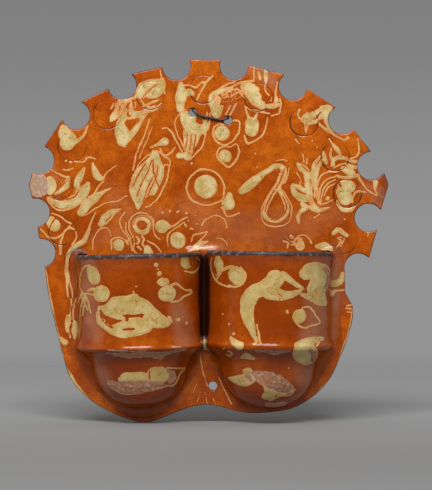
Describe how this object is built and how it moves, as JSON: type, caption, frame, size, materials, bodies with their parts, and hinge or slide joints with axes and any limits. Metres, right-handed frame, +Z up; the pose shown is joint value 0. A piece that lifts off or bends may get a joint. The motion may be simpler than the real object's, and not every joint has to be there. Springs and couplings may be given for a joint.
{
  "type": "wall cutlery holder",
  "caption": "Glazed redware wall plate with a punched cog edge, half-round ledged pockets for cutlery, and a wire loop that hangs on a nail.",
  "frame": {"origin": "on the plate's flat back, between the two wire holes", "axes": "+Y out of the flat back into the wall, +Z up, +X to the viewer's right"},
  "size_m": [0.3063, 0.0674, 0.3084],
  "materials": {
    "glazed_redware": "honey lead glaze over red clay, marbled with cream slip",
    "coated_wire": "dark green-black coating, semi-gloss"
  },
  "bodies": {
    "holder": {"back_plate": "glazed_redware", "left_pocket": "glazed_redware", "right_pocket": "glazed_redware", "left_luting_coil": "glazed_redware", "right_luting_coil": "glazed_redware", "valley_luting_coil": "glazed_redware"},
    "hanger": {"hanging_wire": "coated_wire"}
  },
  "joints": [
    {"name": "hanger_swing", "type": "hinge", "parent": "holder", "child": "hanger", "pos_m": [0.00325, -0.0096, 0.00145], "axis": [-0.9761, 0, 0.2173], "range_deg": [0, 24]}
  ]
}
